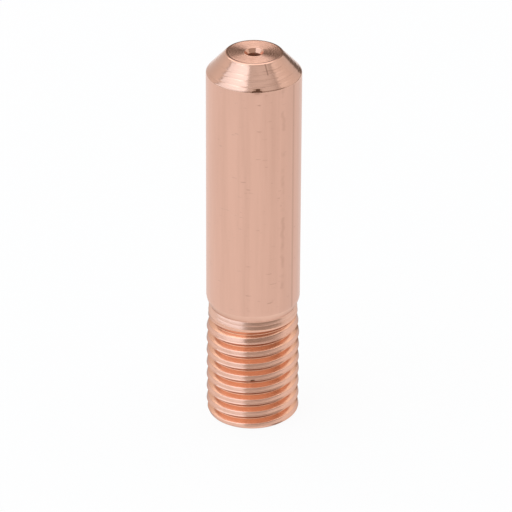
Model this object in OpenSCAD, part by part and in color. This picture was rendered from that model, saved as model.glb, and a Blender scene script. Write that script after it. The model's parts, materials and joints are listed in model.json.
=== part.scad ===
// Contact tip for a wire-feed welding torch: a drawn copper bar turned to a blunt nose at one end,
// with a rolled right-hand thread at the other and the wire bore right through.
// It stands on its threaded end, with the bore's axis on Z and the nose up.

/* [Bar] */
// Length from the threaded end to the nose face
overall_len = 27; // [24:0.5:45]
// Diameter of the drawn bar
bar_d = 6.35; // [6.3:0.05:8]

/* [Nose] */
// Diameter of the flat nose face, over its edge break
nose_d = 3.75; // [2.5:0.05:4.5]
// Length of the nose cone along the axis
nose_len = 1.4; // [0.8:0.1:2.5]
// Edge break round the nose face
nose_break = 0.05; // [0.02:0.01:0.15]

/* [Wire bore] */
// Diameter of the bore that the wire runs through
bore_d = 0.95; // [0.7:0.05:1.7]
// Width of the flared mouth where the wire leaves
mouth_flare = 0.17; // [0.05:0.01:0.25]
// Included angle of that flare
mouth_angle = 60; // [40:5:120]
// Diameter of the funnel where the wire enters
inlet_d = 2.4; // [1.9:0.1:3]
// Included angle of that funnel
inlet_angle = 60; // [40:5:120]

/* [Shank] */
// Length of the shank, from the bar's edge to the threaded end
shank_len = 8.8; // [7.5:0.1:14]
// Length of the tapered shoulder below the bar's edge
shoulder_len = 0.55; // [0.2:0.05:1]
// Diameter of the plain neck that the thread is rolled on
neck_d = 5.97; // [5.85:0.01:6.05]
// Length of plain neck above the thread
neck_len = 0.1; // [0.05:0.05:1]

/* [Thread] */
// Threads to the inch
threads_per_inch = 27; // [26:1:32]
// Diameter over the crests
crest_d = 6.32; // [6.15:0.01:6.35]
// Depth of the groove below the crests
thread_depth = 0.4; // [0.3:0.01:0.45]
// Included angle of the groove
thread_angle = 60; // [50:1:65]
// Width of the groove's floor
root_flat = 0.06; // [0.03:0.01:0.12]
// Height of the lowest groove on the front side
groove_height = 0.63; // [0.4:0.01:0.9]
// Length below the neck over which the groove gets its full depth
groove_runout = 1.1; // [0.6:0.1:2]
// Length below the neck over which the crests rise to their full height
crest_runout = 2.25; // [1:0.05:3]
// Edge break round the threaded end
end_break = 0.1; // [0.05:0.01:0.3]

/* [Hidden] */

// Facets of the drawn circles, and steps in one turn of the thread
$fn = 96;
turn_steps = 40;
// How far a cutting shape runs past the face that it opens
past = 1;
// The rolled core enters the neck with this much to spare at its side
core_step = 0.02;

bar_r = bar_d / 2;
neck_r = neck_d / 2;
bore_r = bore_d / 2;
nose_r = nose_d / 2;

// Heights along the axis
nose_base = overall_len - nose_len;
neck_top = shank_len - shoulder_len;
neck_bottom = neck_top - neck_len;

// Thread section
pitch = 25.4 / threads_per_inch;
blank_r = neck_r - core_step;
crest_r = crest_d / 2;
root_r = crest_r - thread_depth;
flank = thread_depth * tan(thread_angle / 2);
crest_flat = pitch - root_flat - 2 * flank;

// The thread starts below the end face and stops inside the neck
turns_below = 2;
turns_total = turns_below + ceil((neck_bottom - groove_height) / pitch) + 2;
first_height = groove_height - turns_below * pitch;
last_step = turns_total * turn_steps;
strip_steps = last_step - turn_steps;
// Side that groove_height is measured on
front = -90;

// Copper as drawn
copper = "#d9ac99";

// Share of a run-out that lies above height z, from 0 at the neck to 1 where it ends
function run_share(z, length) = max(0, min(1, (neck_bottom - z) / length));

// Radius of the groove's floor at height z: it sinks steeply from the neck and levels out at the root
function floor_radius(z) = blank_r + (root_r - blank_r) * sin(90 * run_share(z, groove_runout));

// Radius of the crest at height z: it swells slowly from the neck
function land_radius(z) = blank_r + (crest_r - blank_r) * (1 - cos(180 * run_share(z, crest_runout))) / 2;

// Height of the groove's middle at one step
function step_height(i) = first_height + pitch * i / turn_steps;

// Point at one step of the winding, at radius r and height z
function at(i, r, z) =
    let (a = front + 360 * i / turn_steps)
    [r * cos(a), r * sin(a), z];

// Four corners of the section at one step: both edges of the groove's floor, then of the crest
function section(i) =
    let (
        z = step_height(i),
        land_low = z + root_flat / 2 + flank,
        land_high = land_low + crest_flat,
        floor_r = floor_radius(z),
        land_r = land_radius(land_high)
    )
    [
        at(i, floor_r, z - root_flat / 2),
        at(i, floor_r, z + root_flat / 2),
        at(i, land_r, land_low),
        at(i, land_r, land_high)
    ];

// Core and thread as one closed strip, wound turn on turn and closed at both ends by a fan
module thread_rod() {
    corners = len(section(0));
    sections = [for (i = [0 : last_step]) each section(i)];
    bottom_tip = len(sections);
    top_tip = bottom_tip + 1;
    tips = [[0, 0, first_height - pitch], [0, 0, step_height(last_step)]];

    function corner(i, k) =
        k < corners ? corners * i + k : corners * (i + turn_steps);

    skin = [
        for (i = [0 : strip_steps - 1], k = [0 : corners - 1]) each [
            [corner(i, k), corner(i, k + 1), corner(i + 1, k + 1)],
            [corner(i, k), corner(i + 1, k + 1), corner(i + 1, k)]
        ]
    ];
    bottom_fan = [
        for (i = [0 : turn_steps - 1]) [bottom_tip, corner(i, 0), corner(i + 1, 0)],
        for (k = [corners : -1 : 1]) [bottom_tip, corner(0, k), corner(0, k - 1)]
    ];
    top_fan = [
        for (i = [strip_steps : last_step - 1]) [top_tip, corner(i + 1, 0), corner(i, 0)],
        for (k = [0 : corners - 1]) [top_tip, corner(strip_steps, k), corner(strip_steps, k + 1)]
    ];
    polyhedron(points = concat(sections, tips), faces = concat(skin, bottom_fan, top_fan));
}

// Outline that trims the thread to the end face and its edge break
module end_trim() {
    rotate_extrude()
        polygon([
            [0, 0],
            [crest_r - end_break, 0],
            [crest_r + past, end_break + past],
            [crest_r + past, shank_len + past],
            [0, shank_len + past]
        ]);
}

// Bar, nose, shoulder and neck in one turned outline
module turned_bar() {
    rotate_extrude()
        polygon([
            [0, neck_bottom],
            [neck_r, neck_bottom],
            [neck_r, neck_top],
            [bar_r, shank_len],
            [bar_r, nose_base],
            [nose_r, overall_len - nose_break],
            [nose_r - nose_break, overall_len],
            [0, overall_len]
        ]);
}

// Bore with its mouth at the nose and its funnel at the threaded end
module wire_way() {
    inlet_r = inlet_d / 2;
    inlet_len = (inlet_r - bore_r) / tan(inlet_angle / 2);
    mouth_r = bore_r + mouth_flare;
    mouth_len = mouth_flare / tan(mouth_angle / 2);
    translate([0, 0, -past])
        cylinder(r = bore_r, h = overall_len + 2 * past);
    rotate_extrude()
        polygon([
            [0, -past],
            [inlet_r, -past],
            [inlet_r, 0],
            [bore_r, inlet_len],
            [0, inlet_len]
        ]);
    rotate_extrude()
        polygon([
            [0, overall_len - mouth_len],
            [bore_r, overall_len - mouth_len],
            [mouth_r, overall_len],
            [mouth_r, overall_len + past],
            [0, overall_len + past]
        ]);
}

module contact_tip() {
    color(copper)
        difference() {
            union() {
                turned_bar();
                intersection() {
                    thread_rod();
                    end_trim();
                }
            }
            wire_way();
        }
}

contact_tip();
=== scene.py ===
import json
import math

import bmesh
import bpy
from mathutils import Matrix, Vector


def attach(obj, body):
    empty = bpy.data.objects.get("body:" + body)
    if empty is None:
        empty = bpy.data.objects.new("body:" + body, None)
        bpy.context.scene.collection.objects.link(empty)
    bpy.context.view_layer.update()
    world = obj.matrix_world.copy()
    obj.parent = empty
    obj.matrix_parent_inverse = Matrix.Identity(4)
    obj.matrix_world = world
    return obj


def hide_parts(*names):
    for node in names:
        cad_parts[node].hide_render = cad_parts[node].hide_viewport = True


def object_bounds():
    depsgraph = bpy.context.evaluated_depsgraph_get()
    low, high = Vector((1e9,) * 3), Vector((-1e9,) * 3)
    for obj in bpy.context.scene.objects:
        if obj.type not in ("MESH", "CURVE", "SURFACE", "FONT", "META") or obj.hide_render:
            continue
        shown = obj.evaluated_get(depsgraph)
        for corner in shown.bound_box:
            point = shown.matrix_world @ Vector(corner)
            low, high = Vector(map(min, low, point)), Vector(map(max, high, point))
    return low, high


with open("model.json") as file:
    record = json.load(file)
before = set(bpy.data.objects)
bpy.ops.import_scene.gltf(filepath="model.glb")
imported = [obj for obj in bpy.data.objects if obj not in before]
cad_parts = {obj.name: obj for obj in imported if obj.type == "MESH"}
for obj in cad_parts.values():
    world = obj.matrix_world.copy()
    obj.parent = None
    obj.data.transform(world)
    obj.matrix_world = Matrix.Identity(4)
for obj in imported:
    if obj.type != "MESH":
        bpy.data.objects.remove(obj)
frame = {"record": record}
cad_low, cad_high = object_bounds()

# Turned body of the tip
# A length of drawn copper bar, turned at the top to a blunt cone with a faced end, drilled through for the
# wire, and turned down below to the neck that the thread is rolled on. Lengths are in millimetres.

MM = 0.001
ROUND_STEPS = 144
mounts = {mount["name"]: mount["dims"] for mount in frame["record"]["mounts"]}

overall_len = (cad_high.z - cad_low.z) / MM
bar_r = (cad_high.x - cad_low.x) / 2 / MM
bar_len = mounts["bar"]["length_mm"]
bore_r = mounts["wire_bore"]["r_mm"]
nose_len = 1.4
nose_r = 1.875
mouth_flare = 0.17
mouth_len = 0.295
inlet_r = 1.2
inlet_len = 1.255
shoulder_len = 0.55
neck_len = 0.55
neck_r = 2.985
neck_swell = 0.05

mouth_r = bore_r + mouth_flare
nose_base = overall_len - nose_len
cone_slope = (bar_r - nose_r) / nose_len
shank_len = nose_base - bar_len
neck_top = shank_len - shoulder_len
neck_bottom = neck_top - neck_len
blank_r = neck_r + neck_swell

# Finishes, in the order in which the mesh takes their materials; the sixth is the painted shade of the dents
DRAWN, TURNED, FACED, ROLLED, DRILLED, DENT_SHADE, NECKED, CRESTED, BORED = range(9)


def wire_through(form, corners):
    """Wire in the XZ plane through corners given as radius, height and how far back each is rounded."""
    points = [form.verts.new((radius * MM, 0, height * MM)) for radius, height, rounding in corners]
    for start, end in zip(points, points[1:]):
        form.edges.new((start, end))
    for point, (radius, height, rounding) in zip(points, corners):
        if rounding:
            bmesh.ops.bevel(form, geom=[point], offset=rounding * MM, offset_type="OFFSET", segments=4,
                            profile=0.5, affect="VERTICES", material=-1)


# Fine rings that the tool left on the neck: how far out, how far below the shoulder and how far rounded
neck_rings = []
for out_by, below, rounding in ((0, 0.4, 0.03), (-0.05, 0.3, 0.02), (0.03, 0.25, 0.02),
                                (-0.015, 0.1, 0.04), (-0.065, 0, 0.03)):
    neck_rings.append((neck_r + out_by, neck_top - below, rounding))

# Lines that the tool scored round the cone, by their height above its edge
score_half = 0.032
score_floor_half = 0.013
score_depth = 0.013
cone_lines = []
for line in (0.25, 0.56, 0.83, 1.3):
    for up, in_by in ((-score_half, 0), (-score_floor_half, score_depth),
                      (score_floor_half, score_depth), (score_half, 0)):
        cone_lines.append((bar_r - (line + up) * cone_slope - in_by, nose_base + line + up, 0))

# Rings that the facing cut left on the nose, as a wave along the radius
face_rings = 11
ring_depth = 0.02
rim_land = 0.14
mouth_land = 0.05
face_from = nose_r - rim_land
ring_step = (face_from - mouth_r - mouth_land) / face_rings
nose_face = []
for quarter in range(4 * face_rings + 1):
    below = ring_depth * (1 - math.cos(quarter * math.pi / 2)) / 2
    nose_face.append((face_from - ring_step * quarter / 4, overall_len - below, 0))

# Edges are rounded, and a point beside the largest ones keeps the bar and the cone straight up to them
shoulder_round = 0.2
cone_round = 0.06
face_round = 0.04
mouth_round = 0.03
bore_round = 0.02
inlet_round = 0.1
bar_hold = 0.4
cone_hold = 0.16

tip_form = bmesh.new()
wire_through(tip_form, [
    (blank_r, neck_bottom, 0),
    *neck_rings,
    (bar_r, shank_len, shoulder_round),
    (bar_r, shank_len + bar_hold, 0),
    (bar_r, nose_base - bar_hold, 0),
    (bar_r, nose_base, cone_round),
    (bar_r - cone_hold * cone_slope, nose_base + cone_hold, 0),
    *cone_lines,
    (nose_r, overall_len - ring_depth, face_round),
    *nose_face,
    (mouth_r, overall_len, mouth_round),
    (bore_r, overall_len - mouth_len, bore_round),
    (bore_r, inlet_len, inlet_round),
    (inlet_r, 0, 0),
])
bmesh.ops.spin(tip_form, geom=tip_form.verts[:] + tip_form.edges[:], cent=(0, 0, 0), axis=(0, 0, 1),
               dvec=(0, 0, 0), angle=math.tau, steps=ROUND_STEPS, use_merge=True, use_duplicate=False)

wall_reach = 0.02
face_reach = 0.03
edge_reach = 0.05
for face in tip_form.faces:
    middle = face.calc_center_median() / MM
    radius = middle.xy.length
    in_funnel = middle.z < neck_top and radius < inlet_r + wall_reach
    if radius < bore_r + wall_reach:
        face.material_index = BORED
    elif radius < mouth_r + wall_reach or in_funnel:
        face.material_index = DRILLED
    elif middle.z > overall_len - face_reach:
        face.material_index = FACED
    elif shank_len < middle.z < nose_base - edge_reach:
        face.material_index = DRAWN
    elif middle.z < neck_bottom + edge_reach:
        face.material_index = ROLLED
    elif middle.z < shank_len:
        face.material_index = NECKED
    else:
        face.material_index = TURNED


def dent_share(place, angle, height, half_width, half_height):
    """How deep in a dent a place lies: 1 in its middle, 0 and less outside it."""
    radius = place.xy.length / MM
    along = radius * (math.atan2(place.x, -place.y) - math.radians(angle)) / half_width
    up = (place.z / MM - height) / half_height
    return 1 - along ** 2 - up ** 2


def press_in(form, angle, height, half_width, half_height, depth, shade_share=0.25):
    """Dent in the outside, in degrees from the front and in millimetres. Its middle is painted dark, as
    shade.
    """
    for face in form.faces:
        middle = face.calc_center_median()
        share = dent_share(middle, angle, height, half_width, half_height)
        if share > shade_share and middle.xy.length / MM > nose_r:
            face.material_index = DENT_SHADE
    for vert in form.verts:
        radius = vert.co.xy.length / MM
        share = dent_share(vert.co, angle, height, half_width, half_height)
        if share > 0 and radius > nose_r:
            vert.co.xy *= (radius - depth * share) / radius


# Nick at the cone's edge, its middle painted dark as shade
press_in(tip_form, angle=4, height=nose_base, half_width=0.37, half_height=0.13, depth=0.08)

# Rolled thread
# The dies press a right-hand groove into the neck and squeeze the copper up on both sides of it, so each
# crest is a slightly tilted land with a seam along its lower edge. The groove runs out at the neck, and
# the crests rise more slowly than it sinks.

INCH = 25.4
threads_per_inch = 27
pitch = INCH / threads_per_inch
crest_r = mounts["thread"]["r_mm"]
thread_depth = 0.42
under_slope = math.tan(math.radians(40))
upper_slope = math.tan(math.radians(31))
root_flat = 0.05
root_round = 0.015
crest_round = 0.012
seam_depth = 0.06
seam_bottom = 0.09
seam_height = 0.105
seam_round = 0.01
land_drop = 0.015
land_hold = 0.025
land_fall = 0.005
lip_drop = 0.074
lip_round = 0.035
groove_height = 0.63
turns_below = 2
turns = 12
merge_within = 0.0001

root_r = crest_r - thread_depth
lip_r = crest_r - lip_drop
first_height = groove_height - turns_below * pitch
crest_low = first_height + root_flat / 2 + thread_depth * under_slope
land_low = crest_low + seam_height
lip_high = first_height + pitch - root_flat / 2 - (lip_r - root_r) * upper_slope

thread_form = bmesh.new()
wire_through(thread_form, [
    (root_r, first_height, 0),
    (root_r, first_height + root_flat / 2, root_round),
    (crest_r, crest_low, crest_round),
    (crest_r - seam_depth, crest_low + seam_bottom, seam_round),
    (crest_r - land_drop, land_low, seam_round),
    (crest_r - land_drop - land_fall, land_low + land_hold, 0),
    (lip_r, lip_high, lip_round),
    (root_r, first_height + pitch - root_flat / 2, root_round),
    (root_r, first_height + pitch, 0),
])
bmesh.ops.rotate(thread_form, cent=(0, 0, 0), matrix=Matrix.Rotation(math.radians(-90), 3, "Z"),
                 verts=thread_form.verts)
bmesh.ops.spin(thread_form, geom=thread_form.verts[:] + thread_form.edges[:], cent=(0, 0, 0), axis=(0, 0, 1),
               dvec=(0, 0, pitch * MM / ROUND_STEPS), angle=math.tau, steps=ROUND_STEPS, use_merge=False,
               use_duplicate=False)
for face in thread_form.faces:
    on_crest = face.calc_center_median().xy.length / MM > lip_r - face_reach
    face.material_index = CRESTED if on_crest else ROLLED
one_turn = thread_form.verts[:] + thread_form.edges[:] + thread_form.faces[:]
for turn in range(1, turns):
    copied = bmesh.ops.duplicate(thread_form, geom=one_turn)
    copied_verts = [part for part in copied["geom"] if isinstance(part, bmesh.types.BMVert)]
    bmesh.ops.translate(thread_form, vec=(0, 0, turn * pitch * MM), verts=copied_verts)
bmesh.ops.remove_doubles(thread_form, verts=thread_form.verts[:], dist=merge_within * MM)

groove_runout = 0.8
crest_runout = 1.6
lip_runout = 0.25
under_spread = 0.12
upper_spread = 0.03
least_depth = 0.004
end_break = 0.13
end_slope = 0.7


def run_share(height, length):
    """Share of a run-out below the neck that lies above a height: 0 at the neck, 1 where it ends."""
    return max(0.0, min(1.0, (neck_bottom - height) / length))


def rolled_place(place):
    """Where a point of the even thread lies once the thread runs out at the neck and its end is broken."""
    radius = place.xy.length / MM
    height = place.z / MM

    # Height above or below the middle of the nearest groove
    turned = math.atan2(place.x, -place.y) / math.tau
    turns_up = (height - groove_height) / pitch - turned
    offset = (turns_up - round(turns_up)) * pitch
    centre = height - offset
    aside = abs(offset) - root_flat / 2

    # How much of the groove, the crest, the lip and the seam is rolled at this height
    groove_share = math.sin(math.pi / 2 * run_share(centre, groove_runout))
    crest_share = (1 - math.cos(math.pi * run_share(height, crest_runout))) / 2
    lip_share = run_share(height, lip_runout)
    seam_share = run_share(height, groove_runout)
    floor_now = blank_r + (root_r - blank_r) * groove_share
    crest_now = blank_r + (crest_r - blank_r) * crest_share

    # The flank above a groove ends at a crest's lower edge, the one below it at the lip of the crest beneath
    edge_r, edge_now, slope, spread = crest_r, crest_now, under_slope, under_spread
    if offset < 0:
        edge_r, edge_now, slope, spread = lip_r, crest_now - lip_drop * lip_share, upper_slope, upper_spread
    depth_now = max(edge_now - floor_now, least_depth)
    flank_from = (edge_r - root_r) * slope
    flank_now = depth_now * slope + spread * (1 - crest_share) * groove_share
    rolled_r = floor_now + (radius - root_r) * depth_now / (edge_r - root_r)
    if aside > flank_from:
        in_seam = offset > 0 and aside < flank_from + seam_height
        rolled_r = crest_now + (radius - crest_r) * (seam_share if in_seam else lip_share)
        land_end = (pitch - root_flat) / 2
        aside = flank_now + (aside - flank_from) * (land_end - flank_now) / (land_end - flank_from)
    elif aside > 0:
        aside *= flank_now / flank_from
    rolled_r = min(rolled_r, crest_r - end_break + end_slope * max(height, 0.0))
    rolled_height = centre + math.copysign(aside + root_flat / 2, offset)
    return Vector((*(place.xy * (rolled_r / radius)), rolled_height * MM))


for vert in thread_form.verts:
    vert.co = rolled_place(vert.co)

join_gap = 0.03
cut_within = 0.00001
for height, keep_above in ((0, True), (neck_bottom - join_gap, False)):
    bmesh.ops.bisect_plane(thread_form,
                           geom=thread_form.verts[:] + thread_form.edges[:] + thread_form.faces[:],
                           dist=cut_within * MM, plane_co=(0, 0, height * MM), plane_no=(0, 0, 1),
                           clear_inner=keep_above, clear_outer=not keep_above)

thread_mesh = bpy.data.meshes.new("thread")
thread_form.to_mesh(thread_mesh)
thread_form.free()
tip_form.from_mesh(thread_mesh)
bpy.data.meshes.remove(thread_mesh)

# The thread is joined to the neck and to the funnel. The funnel's rim is held away from the end face
# meanwhile, so that the faces run straight across.
rim_reach = 1
funnel_reach = 0.1
hold_away = Vector((0, 0, 3 * MM))
open_edges = [edge for edge in tip_form.edges if edge.is_boundary]
open_verts = {vert for edge in open_edges for vert in edge.verts}
funnel_rim = [vert for vert in open_verts if vert.co.xy.length / MM < inlet_r + funnel_reach]
for height, finish in ((neck_bottom, ROLLED), (0, FACED)):
    rims = [edge for edge in open_edges if abs(edge.verts[0].co.z / MM - height) < rim_reach]
    bmesh.ops.translate(tip_form, vec=-hold_away, verts=funnel_rim)
    for face in bmesh.ops.bridge_loops(tip_form, edges=rims)["faces"]:
        face.material_index = finish
    bmesh.ops.translate(tip_form, vec=hold_away, verts=funnel_rim)
bmesh.ops.recalc_face_normals(tip_form, faces=tip_form.faces[:])

# Nick in one crest, its middle painted dark as shade
press_in(tip_form, angle=0, height=3.85, half_width=0.11, half_height=0.07, depth=0.04)
tip_form.normal_update()

# Smooth shading in which large faces count most, so that the cone and the flanks stay true up to their
# edges. The flat end is shaded by itself.
straight_down = -0.99
face_pulls = {}
for face in tip_form.faces:
    face.smooth = True
    face_pulls[face] = face.normal * (face.calc_area() / MM ** 2)
corner_normals = []
for face in tip_form.faces:
    on_end = face.normal.z < straight_down
    for vert in face.verts:
        pull = Vector()
        for near in vert.link_faces:
            if (near.normal.z < straight_down) == on_end:
                pull += face_pulls[near]
        corner_normals.append(pull.normalized())

tip_mesh = bpy.data.meshes.new("contact_tip_body")
tip_form.to_mesh(tip_mesh)
tip_mesh.normals_split_custom_set(corner_normals)
tip_form.free()
tip = bpy.data.objects.new("contact_tip_body", tip_mesh)
bpy.context.scene.collection.objects.link(tip)

# Finishes of the copper
# One metal throughout, with the finish that each surface was left with: drawn bar, turned cone, faced ends,
# rolled grooves and crests, drilled mouth and funnel, turned neck and dull bore. The cone's copper is a
# little darker as painted shade, the grooves' copper lighter as painted light, and the nicks are painted
# shade.


def add_node(tree, kind, inputs=None, **settings):
    """Shader node with its settings, where each input is a plain value or a socket to link."""
    made = tree.nodes.new("ShaderNode" + kind)
    for name, value in settings.items():
        setattr(made, name, value)
    for name, value in (inputs or {}).items():
        if isinstance(value, bpy.types.NodeSocket):
            tree.links.new(value, made.inputs[name])
        else:
            made.inputs[name].default_value = value
    return made


def worked_out(tree, operation, *values, **settings):
    """Result of a sum, product or comparison of values and sockets."""
    return add_node(tree, "Math", dict(enumerate(values)), operation=operation, **settings).outputs["Value"]


def blended(tree, share, first, second):
    """Colour that goes from the first to the second with a share. The node's colour sockets go by number."""
    return add_node(tree, "Mix", {0: share, 6: first, 7: second}, data_type="RGBA").outputs[2]


def stretched_noise(tree, place, stretch, detail, roughness=0.5):
    """Noise over a place that is scaled along each axis first. Gives its outputs."""
    stretched = add_node(tree, "Mapping", {"Vector": place, "Scale": stretch})
    noise = add_node(tree, "TexNoise", {"Vector": stretched.outputs["Vector"], "Scale": 1.0,
                                        "Detail": detail, "Roughness": roughness})
    return noise.outputs


def effect_group(name, inputs, outputs):
    """Empty node group with named inputs and outputs, given as name and kind of socket."""
    tree = bpy.data.node_groups.new(name, "ShaderNodeTree")
    for label, kind in inputs:
        tree.interface.new_socket(label, in_out="INPUT", socket_type="NodeSocket" + kind)
    for label, kind in outputs:
        tree.interface.new_socket(label, in_out="OUTPUT", socket_type="NodeSocket" + kind)
    return tree, tree.nodes.new("NodeGroupInput").outputs, tree.nodes.new("NodeGroupOutput").inputs


# Cloudy change from clean copper to a duller tone
tone_group, tone_in, tone_out = effect_group(
    "copper_tone", [("Place", "Vector"), ("Clean", "Color"), ("Dull", "Color")], [("Color", "Color")])
tone_cloud = add_node(tone_group, "TexNoise", {"Vector": tone_in["Place"], "Scale": 0.9, "Detail": 6,
                                               "Roughness": 0.62})
tone_share = add_node(tone_group, "MapRange", {"Value": tone_cloud.outputs["Fac"], "From Min": 0.4,
                                               "From Max": 0.72})
tone_colour = blended(tone_group, tone_share.outputs["Result"], tone_in["Clean"], tone_in["Dull"])
tone_group.links.new(tone_colour, tone_out["Color"])

# Rings that a cutting edge leaves, across the direction in which it was fed
rings_group, rings_in, rings_out = effect_group(
    "turning_marks", [("Place", "Vector"), ("Feed", "Float")], [("Height", "Float"), ("Lines", "Float")])
rings_along = 0.25
rings_across = 7.0
rings_parts = add_node(rings_group, "SeparateXYZ", {"Vector": rings_in["Place"]})
rings_place = add_node(rings_group, "CombineXYZ", {
    "X": worked_out(rings_group, "MULTIPLY", rings_parts.outputs["X"], rings_along),
    "Y": worked_out(rings_group, "MULTIPLY", rings_parts.outputs["Y"], rings_along),
    "Z": worked_out(rings_group, "MULTIPLY", rings_in["Feed"], rings_across)})
rings_noise = add_node(rings_group, "TexNoise", {"Vector": rings_place.outputs["Vector"], "Scale": 1.0,
                                                 "Detail": 3, "Roughness": 0.65})
rings_lines = add_node(rings_group, "MapRange", {"Value": rings_noise.outputs["Fac"], "From Min": 0.6,
                                                 "From Max": 0.72})
rings_group.links.new(rings_noise.outputs["Fac"], rings_out["Height"])
rings_group.links.new(rings_lines.outputs["Result"], rings_out["Lines"])

# Line along the tip's length, on the side that it faces, at full strength in its core
line_group, line_in, line_out = effect_group(
    "length_line", [("Place", "Vector"), ("Across", "Vector"), ("Outward", "Vector"),
                    ("Half Width", "Float"), ("Strength", "Float")], [("Mask", "Float")])
line_core = 0.25
line_across = add_node(line_group, "VectorMath", {0: line_in["Place"], 1: line_in["Across"]},
                       operation="DOT_PRODUCT")
line_outward = add_node(line_group, "VectorMath", {0: line_in["Place"], 1: line_in["Outward"]},
                        operation="DOT_PRODUCT")
line_fade = add_node(line_group, "MapRange", {
    "Value": worked_out(line_group, "ABSOLUTE", line_across.outputs["Value"]),
    "From Min": worked_out(line_group, "MULTIPLY", line_in["Half Width"], line_core),
    "From Max": line_in["Half Width"], "To Min": line_in["Strength"], "To Max": 0.0})
line_side = worked_out(line_group, "GREATER_THAN", line_outward.outputs["Value"], 0.0)
line_mask = worked_out(line_group, "MULTIPLY", line_fade.outputs["Result"], line_side)
line_group.links.new(line_mask, line_out["Mask"])


def line_along(tree, place, angle, half_width, strength):
    """Mask of a line along the tip's length, in degrees from the front and in millimetres."""
    turn = math.radians(angle)
    line = add_node(tree, "Group", {"Place": place, "Across": (math.cos(turn), math.sin(turn), 0),
                                    "Outward": (math.sin(turn), -math.cos(turn), 0),
                                    "Half Width": half_width, "Strength": strength}, node_tree=line_group)
    return line.outputs["Mask"]


def copper_finish(name, clean, dull, grain=(1, 1, 1)):
    """Metal for the tip. Gives its tree, shader, place in millimetres and a tone that changes over it."""
    finish = bpy.data.materials.new(name)
    finish.use_nodes = True
    tree = finish.node_tree
    shader = tree.nodes["Principled BSDF"]
    shader.inputs["Metallic"].default_value = 1
    coords = add_node(tree, "TexCoord")
    place = add_node(tree, "Mapping", {"Vector": coords.outputs["Object"],
                                       "Scale": (1 / MM, 1 / MM, 1 / MM)}).outputs["Vector"]
    stretched = add_node(tree, "Mapping", {"Vector": place, "Scale": grain})
    tone = add_node(tree, "Group", {"Place": stretched.outputs["Vector"], "Clean": (*clean, 1),
                                    "Dull": (*dull, 1)}, node_tree=tone_group)
    tip_mesh.materials.append(finish)
    return tree, shader, place, tone.outputs["Color"]


# Drawn bar: satin, with bands and fine lines along its length
bar_tree, bar_shader, bar_place, bar_tone = copper_finish(
    "drawn_copper", clean=(0.755, 0.455, 0.352), dull=(0.695, 0.416, 0.32), grain=(1.5, 1.5, 0.08))
bar_lines = stretched_noise(bar_tree, bar_place, stretch=(7, 7, 0.06), detail=3)["Fac"]
bar_gloss = add_node(bar_tree, "MapRange", {"Value": bar_lines, "From Min": 0.3, "From Max": 0.7,
                                            "To Min": 0.28, "To Max": 0.36})
bar_tree.links.new(bar_gloss.outputs["Result"], bar_shader.inputs["Roughness"])

# Short dashes across the bar, where it was handled and knocked against others
bar_dents = stretched_noise(bar_tree, bar_place, stretch=(1.5, 1.5, 13), detail=1.5, roughness=0.4)["Fac"]
bar_dashes = add_node(bar_tree, "MapRange", {"Value": bar_dents, "From Min": 0.71, "From Max": 0.77})
dash_tone = 0.34
dash_depth = 2.0

# Painted reflection of the tip's shadow as a dark line on the bar's right side, painted shade over that
# whole side, and a broken rub line that wanders beside it
bar_shadow_reflection_line = line_along(bar_tree, bar_place, angle=55.5, half_width=0.15, strength=0.3)
bar_painted_shade_side = line_along(bar_tree, bar_place, angle=62, half_width=2.6, strength=0.2)
bar_shade_and_shadow_line = worked_out(bar_tree, "ADD", bar_shadow_reflection_line, bar_painted_shade_side)
bar_wander = stretched_noise(bar_tree, bar_place, stretch=(0.3, 0.3, 1.9), detail=2)["Color"]
wander_reach = (0.4, 0.4, 0)
bar_wandered = add_node(bar_tree, "VectorMath", {0: bar_wander, 1: wander_reach, 2: bar_place},
                        operation="MULTIPLY_ADD").outputs["Vector"]
bar_rub_line = line_along(bar_tree, bar_wandered, angle=43, half_width=0.2, strength=0.2)
bar_breaks = stretched_noise(bar_tree, bar_place, stretch=(0.3, 0.3, 1.1), detail=1.5)["Fac"]
bar_unbroken = add_node(bar_tree, "MapRange", {"Value": bar_breaks, "From Min": 0.48, "From Max": 0.6})
bar_rubs_and_painted_shade = worked_out(bar_tree, "MULTIPLY_ADD", bar_rub_line, bar_unbroken.outputs["Result"], bar_shade_and_shadow_line)

# Dark tone of the dashes and the rub line, and of the painted shade and painted shadow reflection on the
# right side
mark_and_shade_tone = (0.42, 0.24, 0.18, 1)
line_depth = 0.004
# Dashes and rub line, together with the painted shade and painted shadow reflection of the right side
bar_marks_and_painted_shade = worked_out(bar_tree, "MULTIPLY_ADD", bar_dashes.outputs["Result"], dash_tone, bar_rubs_and_painted_shade,
                       use_clamp=True)
bar_colour = blended(bar_tree, bar_marks_and_painted_shade, bar_tone, mark_and_shade_tone)
bar_tree.links.new(bar_colour, bar_shader.inputs["Base Color"])
bar_height = worked_out(bar_tree, "MULTIPLY_ADD", bar_dashes.outputs["Result"], -dash_depth, bar_lines)
bar_bump = add_node(bar_tree, "Bump", {"Height": bar_height, "Distance": line_depth * MM})
bar_tree.links.new(bar_bump.outputs["Normal"], bar_shader.inputs["Normal"])

scored_tone = (0.25, 0.13, 0.09, 1)


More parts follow.
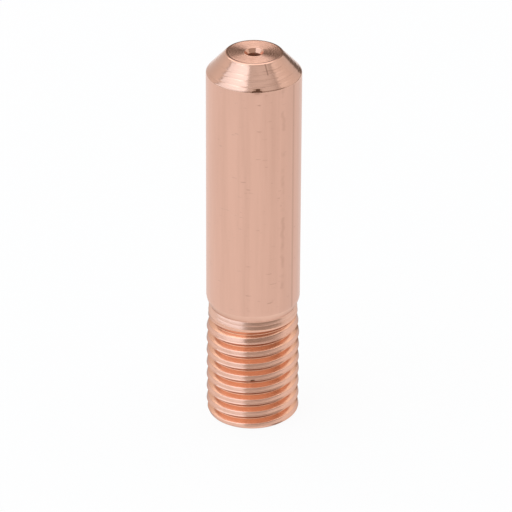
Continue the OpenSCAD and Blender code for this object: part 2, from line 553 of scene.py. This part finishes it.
def ringed_finish(name, clean, dull, feed_axis, smooth, rough, depth, score=0.0, rim=(1, 1, 1)):
    """Cut copper with rings along its height or radius. Gives its tree, shader, place and colour."""
    tree, shader, place, tone = copper_finish(name, clean, dull)
    shader.inputs["Specular Tint"].default_value = (*rim, 1)
    parts = add_node(tree, "SeparateXYZ", {"Vector": place})
    flat = add_node(tree, "CombineXYZ", {"X": parts.outputs["X"], "Y": parts.outputs["Y"]})
    radius = add_node(tree, "VectorMath", {0: flat.outputs["Vector"]}, operation="LENGTH")
    feed = parts.outputs["Z"] if feed_axis == "height" else radius.outputs["Value"]
    rings = add_node(tree, "Group", {"Place": place, "Feed": feed}, node_tree=rings_group)
    gloss = add_node(tree, "MapRange", {"Value": rings.outputs["Lines"], "To Min": smooth, "To Max": rough})
    tree.links.new(gloss.outputs["Result"], shader.inputs["Roughness"])
    bump = add_node(tree, "Bump", {"Height": rings.outputs["Height"], "Distance": depth * MM})
    tree.links.new(bump.outputs["Normal"], shader.inputs["Normal"])
    marks = worked_out(tree, "MULTIPLY", rings.outputs["Lines"], score)
    colour = blended(tree, marks, tone, scored_tone)
    tree.links.new(colour, shader.inputs["Base Color"])
    return tree, shader, place, colour


# Turned cone: bright, with scored tool lines and one upright scratch near the nose. Its copper is a little
# darker than the bar's, as painted shade over the cone
cone_tree, cone_shader, cone_place, cone_tone = ringed_finish(
    "turned_copper_painted_shade", clean=(0.705, 0.432, 0.332), dull=(0.66, 0.4, 0.305), feed_axis="height", smooth=0.16,
    rough=0.3, depth=0.012, score=0.45)
scratch_len = 0.62
cone_parts = add_node(cone_tree, "SeparateXYZ", {"Vector": cone_place})
cone_near_nose = worked_out(cone_tree, "GREATER_THAN", cone_parts.outputs["Z"], overall_len - scratch_len)
cone_line = line_along(cone_tree, cone_place, angle=22, half_width=0.06, strength=0.6)
cone_scratch = worked_out(cone_tree, "MULTIPLY", cone_line, cone_near_nose)
cone_colour = blended(cone_tree, cone_scratch, cone_tone, scored_tone)
cone_tree.links.new(cone_colour, cone_shader.inputs["Base Color"])

# The other finishes. The thread and the neck reflect less where they are seen edge-on.
rolled_rim = (0.58, 0.6, 0.62)
neck_rim = (0.74, 0.72, 0.7)
ringed_finish("faced_copper", clean=(0.74, 0.42, 0.305), dull=(0.62, 0.335, 0.235), feed_axis="radius",
              smooth=0.21, rough=0.31, depth=0.006, score=0.2)
# Copper of the rolled grooves, lighter than the bar's as painted light in the grooves
ringed_finish("rolled_copper_painted_light", clean=(0.88, 0.495, 0.34), dull=(0.83, 0.46, 0.315), feed_axis="radius",
              smooth=0.24, rough=0.32, depth=0.003, rim=rolled_rim)
ringed_finish("drilled_copper", clean=(0.72, 0.41, 0.3), dull=(0.6, 0.33, 0.24), feed_axis="height",
              smooth=0.16, rough=0.3, depth=0.006)
# Dark copper painted in the middle of the nicks, as their shade
ringed_finish("dent_shade_copper", clean=(0.3, 0.15, 0.095), dull=(0.2, 0.095, 0.06), feed_axis="height",
              smooth=0.35, rough=0.5, depth=0.006)
ringed_finish("necked_copper", clean=(0.8, 0.5, 0.39), dull=(0.74, 0.45, 0.345), feed_axis="height",
              smooth=0.29, rough=0.38, depth=0.006, rim=neck_rim)
ringed_finish("crested_copper", clean=(0.8, 0.475, 0.36), dull=(0.74, 0.43, 0.325), feed_axis="radius",
              smooth=0.22, rough=0.3, depth=0.003, rim=rolled_rim)
ringed_finish("bored_copper", clean=(0.62, 0.35, 0.24), dull=(0.52, 0.29, 0.2), feed_axis="height",
              smooth=0.6, rough=0.7, depth=0.006)

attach(tip, "root")
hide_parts("contact_tip")

# Studio
# A plain white floor under soft boxes: a cool key on the left, a weak fill in front, a panel on each side
# and a wide one overhead, in a room that is dim and a little warm low down. Lengths here are in metres.

floor_r = 0.17
floor_form = bmesh.new()
bmesh.ops.create_circle(floor_form, cap_ends=True, segments=96, radius=floor_r)
floor_mesh = bpy.data.meshes.new("studio_floor")
floor_form.to_mesh(floor_mesh)
floor_form.free()
floor = bpy.data.objects.new("studio_floor", floor_mesh)
bpy.context.scene.collection.objects.link(floor)

# The camera and the metal see the floor as white, with a trace of the tip's shadow
floor_whiteness = 0.92
floor_paint = bpy.data.materials.new("studio_floor")
floor_paint.use_nodes = True
floor_tree = floor_paint.node_tree
floor_tree.nodes.clear()
floor_rays = add_node(floor_tree, "LightPath").outputs
floor_seen = worked_out(floor_tree, "MAXIMUM", floor_rays["Is Camera Ray"], floor_rays["Is Glossy Ray"])
floor_share = worked_out(floor_tree, "MULTIPLY", floor_seen, floor_whiteness)
floor_matte = add_node(floor_tree, "BsdfDiffuse", {"Color": (0.8, 0.8, 0.8, 1)})
floor_white = add_node(floor_tree, "Emission", {"Strength": 1.0})
floor_mix = add_node(floor_tree, "MixShader", {"Fac": floor_share, 1: floor_matte.outputs["BSDF"],
                                               2: floor_white.outputs["Emission"]})
add_node(floor_tree, "OutputMaterial", {"Surface": floor_mix.outputs["Shader"]})
floor_mesh.materials.append(floor_paint)


def soft_box(name, azimuth, distance, lift, width, height, level, lean=0, tint=(1, 1, 1)):
    """Panel of even light that faces the tip's axis. Azimuth 0 is in front, and it grows to the right."""
    panel = bpy.data.lights.new(name, "AREA")
    panel.shape = "RECTANGLE"
    panel.size = width
    panel.size_y = height
    panel.energy = level * math.pi * width * height
    panel.color = tint
    holder = bpy.data.objects.new(name, panel)
    turn = math.radians(azimuth)
    holder.location = (math.sin(turn) * distance, -math.cos(turn) * distance, lift)
    holder.rotation_euler = (math.radians(90 - lean), 0, turn)
    holder.visible_camera = False
    bpy.context.scene.collection.objects.link(holder)


soft_box("key_box", azimuth=-61.5, distance=0.4, lift=0.48, width=0.65, height=0.96, level=1.12,
         tint=(0.82, 0.99, 1.17))
soft_box("front_box", azimuth=28, distance=0.5, lift=0.62, width=0.9, height=0.8, level=0.18)
soft_box("right_box", azimuth=109, distance=0.5, lift=0.32, width=0.69, height=0.64, level=0.6)
soft_box("left_box", azimuth=-135, distance=0.5, lift=0.25, width=0.6, height=0.7, level=0.6)
soft_box("top_box", azimuth=-164, distance=0.26, lift=0.56, width=0.7, height=0.75, level=1.0, lean=80,
         tint=(0.96, 1.02, 1.1))

# Air of the room: grey overhead, warm and dim low down, darkest at the back, and white to the camera
low_tone = (0.34, 0.3, 0.265)
high_tone = (0.74, 0.74, 0.74, 1)
white = (1, 1, 1, 1)
world = bpy.data.worlds.new("studio_air")
bpy.context.scene.world = world
world.use_nodes = True
air_tree = world.node_tree
air_way = add_node(air_tree, "TexCoord")
air_parts = add_node(air_tree, "SeparateXYZ", {"Vector": air_way.outputs["Generated"]}).outputs
air_height = add_node(air_tree, "MapRange", {"Value": air_parts["Z"], "From Min": 0.5, "From Max": 0.9},
                      interpolation_type="SMOOTHSTEP")
air_back = add_node(air_tree, "MapRange", {"Value": air_parts["Y"], "From Min": 0.3, "From Max": 0.85,
                                           "To Min": 1.0, "To Max": 0.6}, interpolation_type="SMOOTHSTEP")
air_low = add_node(air_tree, "VectorMath", {0: low_tone, "Scale": air_back.outputs["Result"]},
                   operation="SCALE")
air_light = blended(air_tree, air_height.outputs["Result"], air_low.outputs["Vector"], high_tone)
air_rays = add_node(air_tree, "LightPath")
air_seen = blended(air_tree, air_rays.outputs["Is Camera Ray"], air_light, white)
air_tree.links.new(air_seen, air_tree.nodes["Background"].inputs["Color"])

# Camera
# A long lens that looks down on the tip from the photograph's height and distance, with the photograph's
# small roll. Lengths are in millimetres again.

aim_height = 11.76
camera_distance = 260.5
look_down = math.radians(28.53)
camera_roll = math.radians(0.255)

camera_data = bpy.data.cameras.new("camera")
camera_data.sensor_width = 36
camera_data.lens = 271.5
camera_data.shift_x = 0.0055
camera_data.clip_start = 0.01
camera = bpy.data.objects.new("camera", camera_data)
away = Vector((0, -math.cos(look_down), math.sin(look_down)))
camera.location = Vector((0, 0, aim_height * MM)) + away * camera_distance * MM
tilt = Matrix.Rotation(math.pi / 2 - look_down, 3, "X")
roll = Matrix.Rotation(camera_roll, 3, "Z")
camera.rotation_euler = (tilt @ roll).to_euler()
bpy.context.scene.collection.objects.link(camera)
bpy.context.scene.camera = camera
bpy.context.scene.view_settings.view_transform = "Standard"
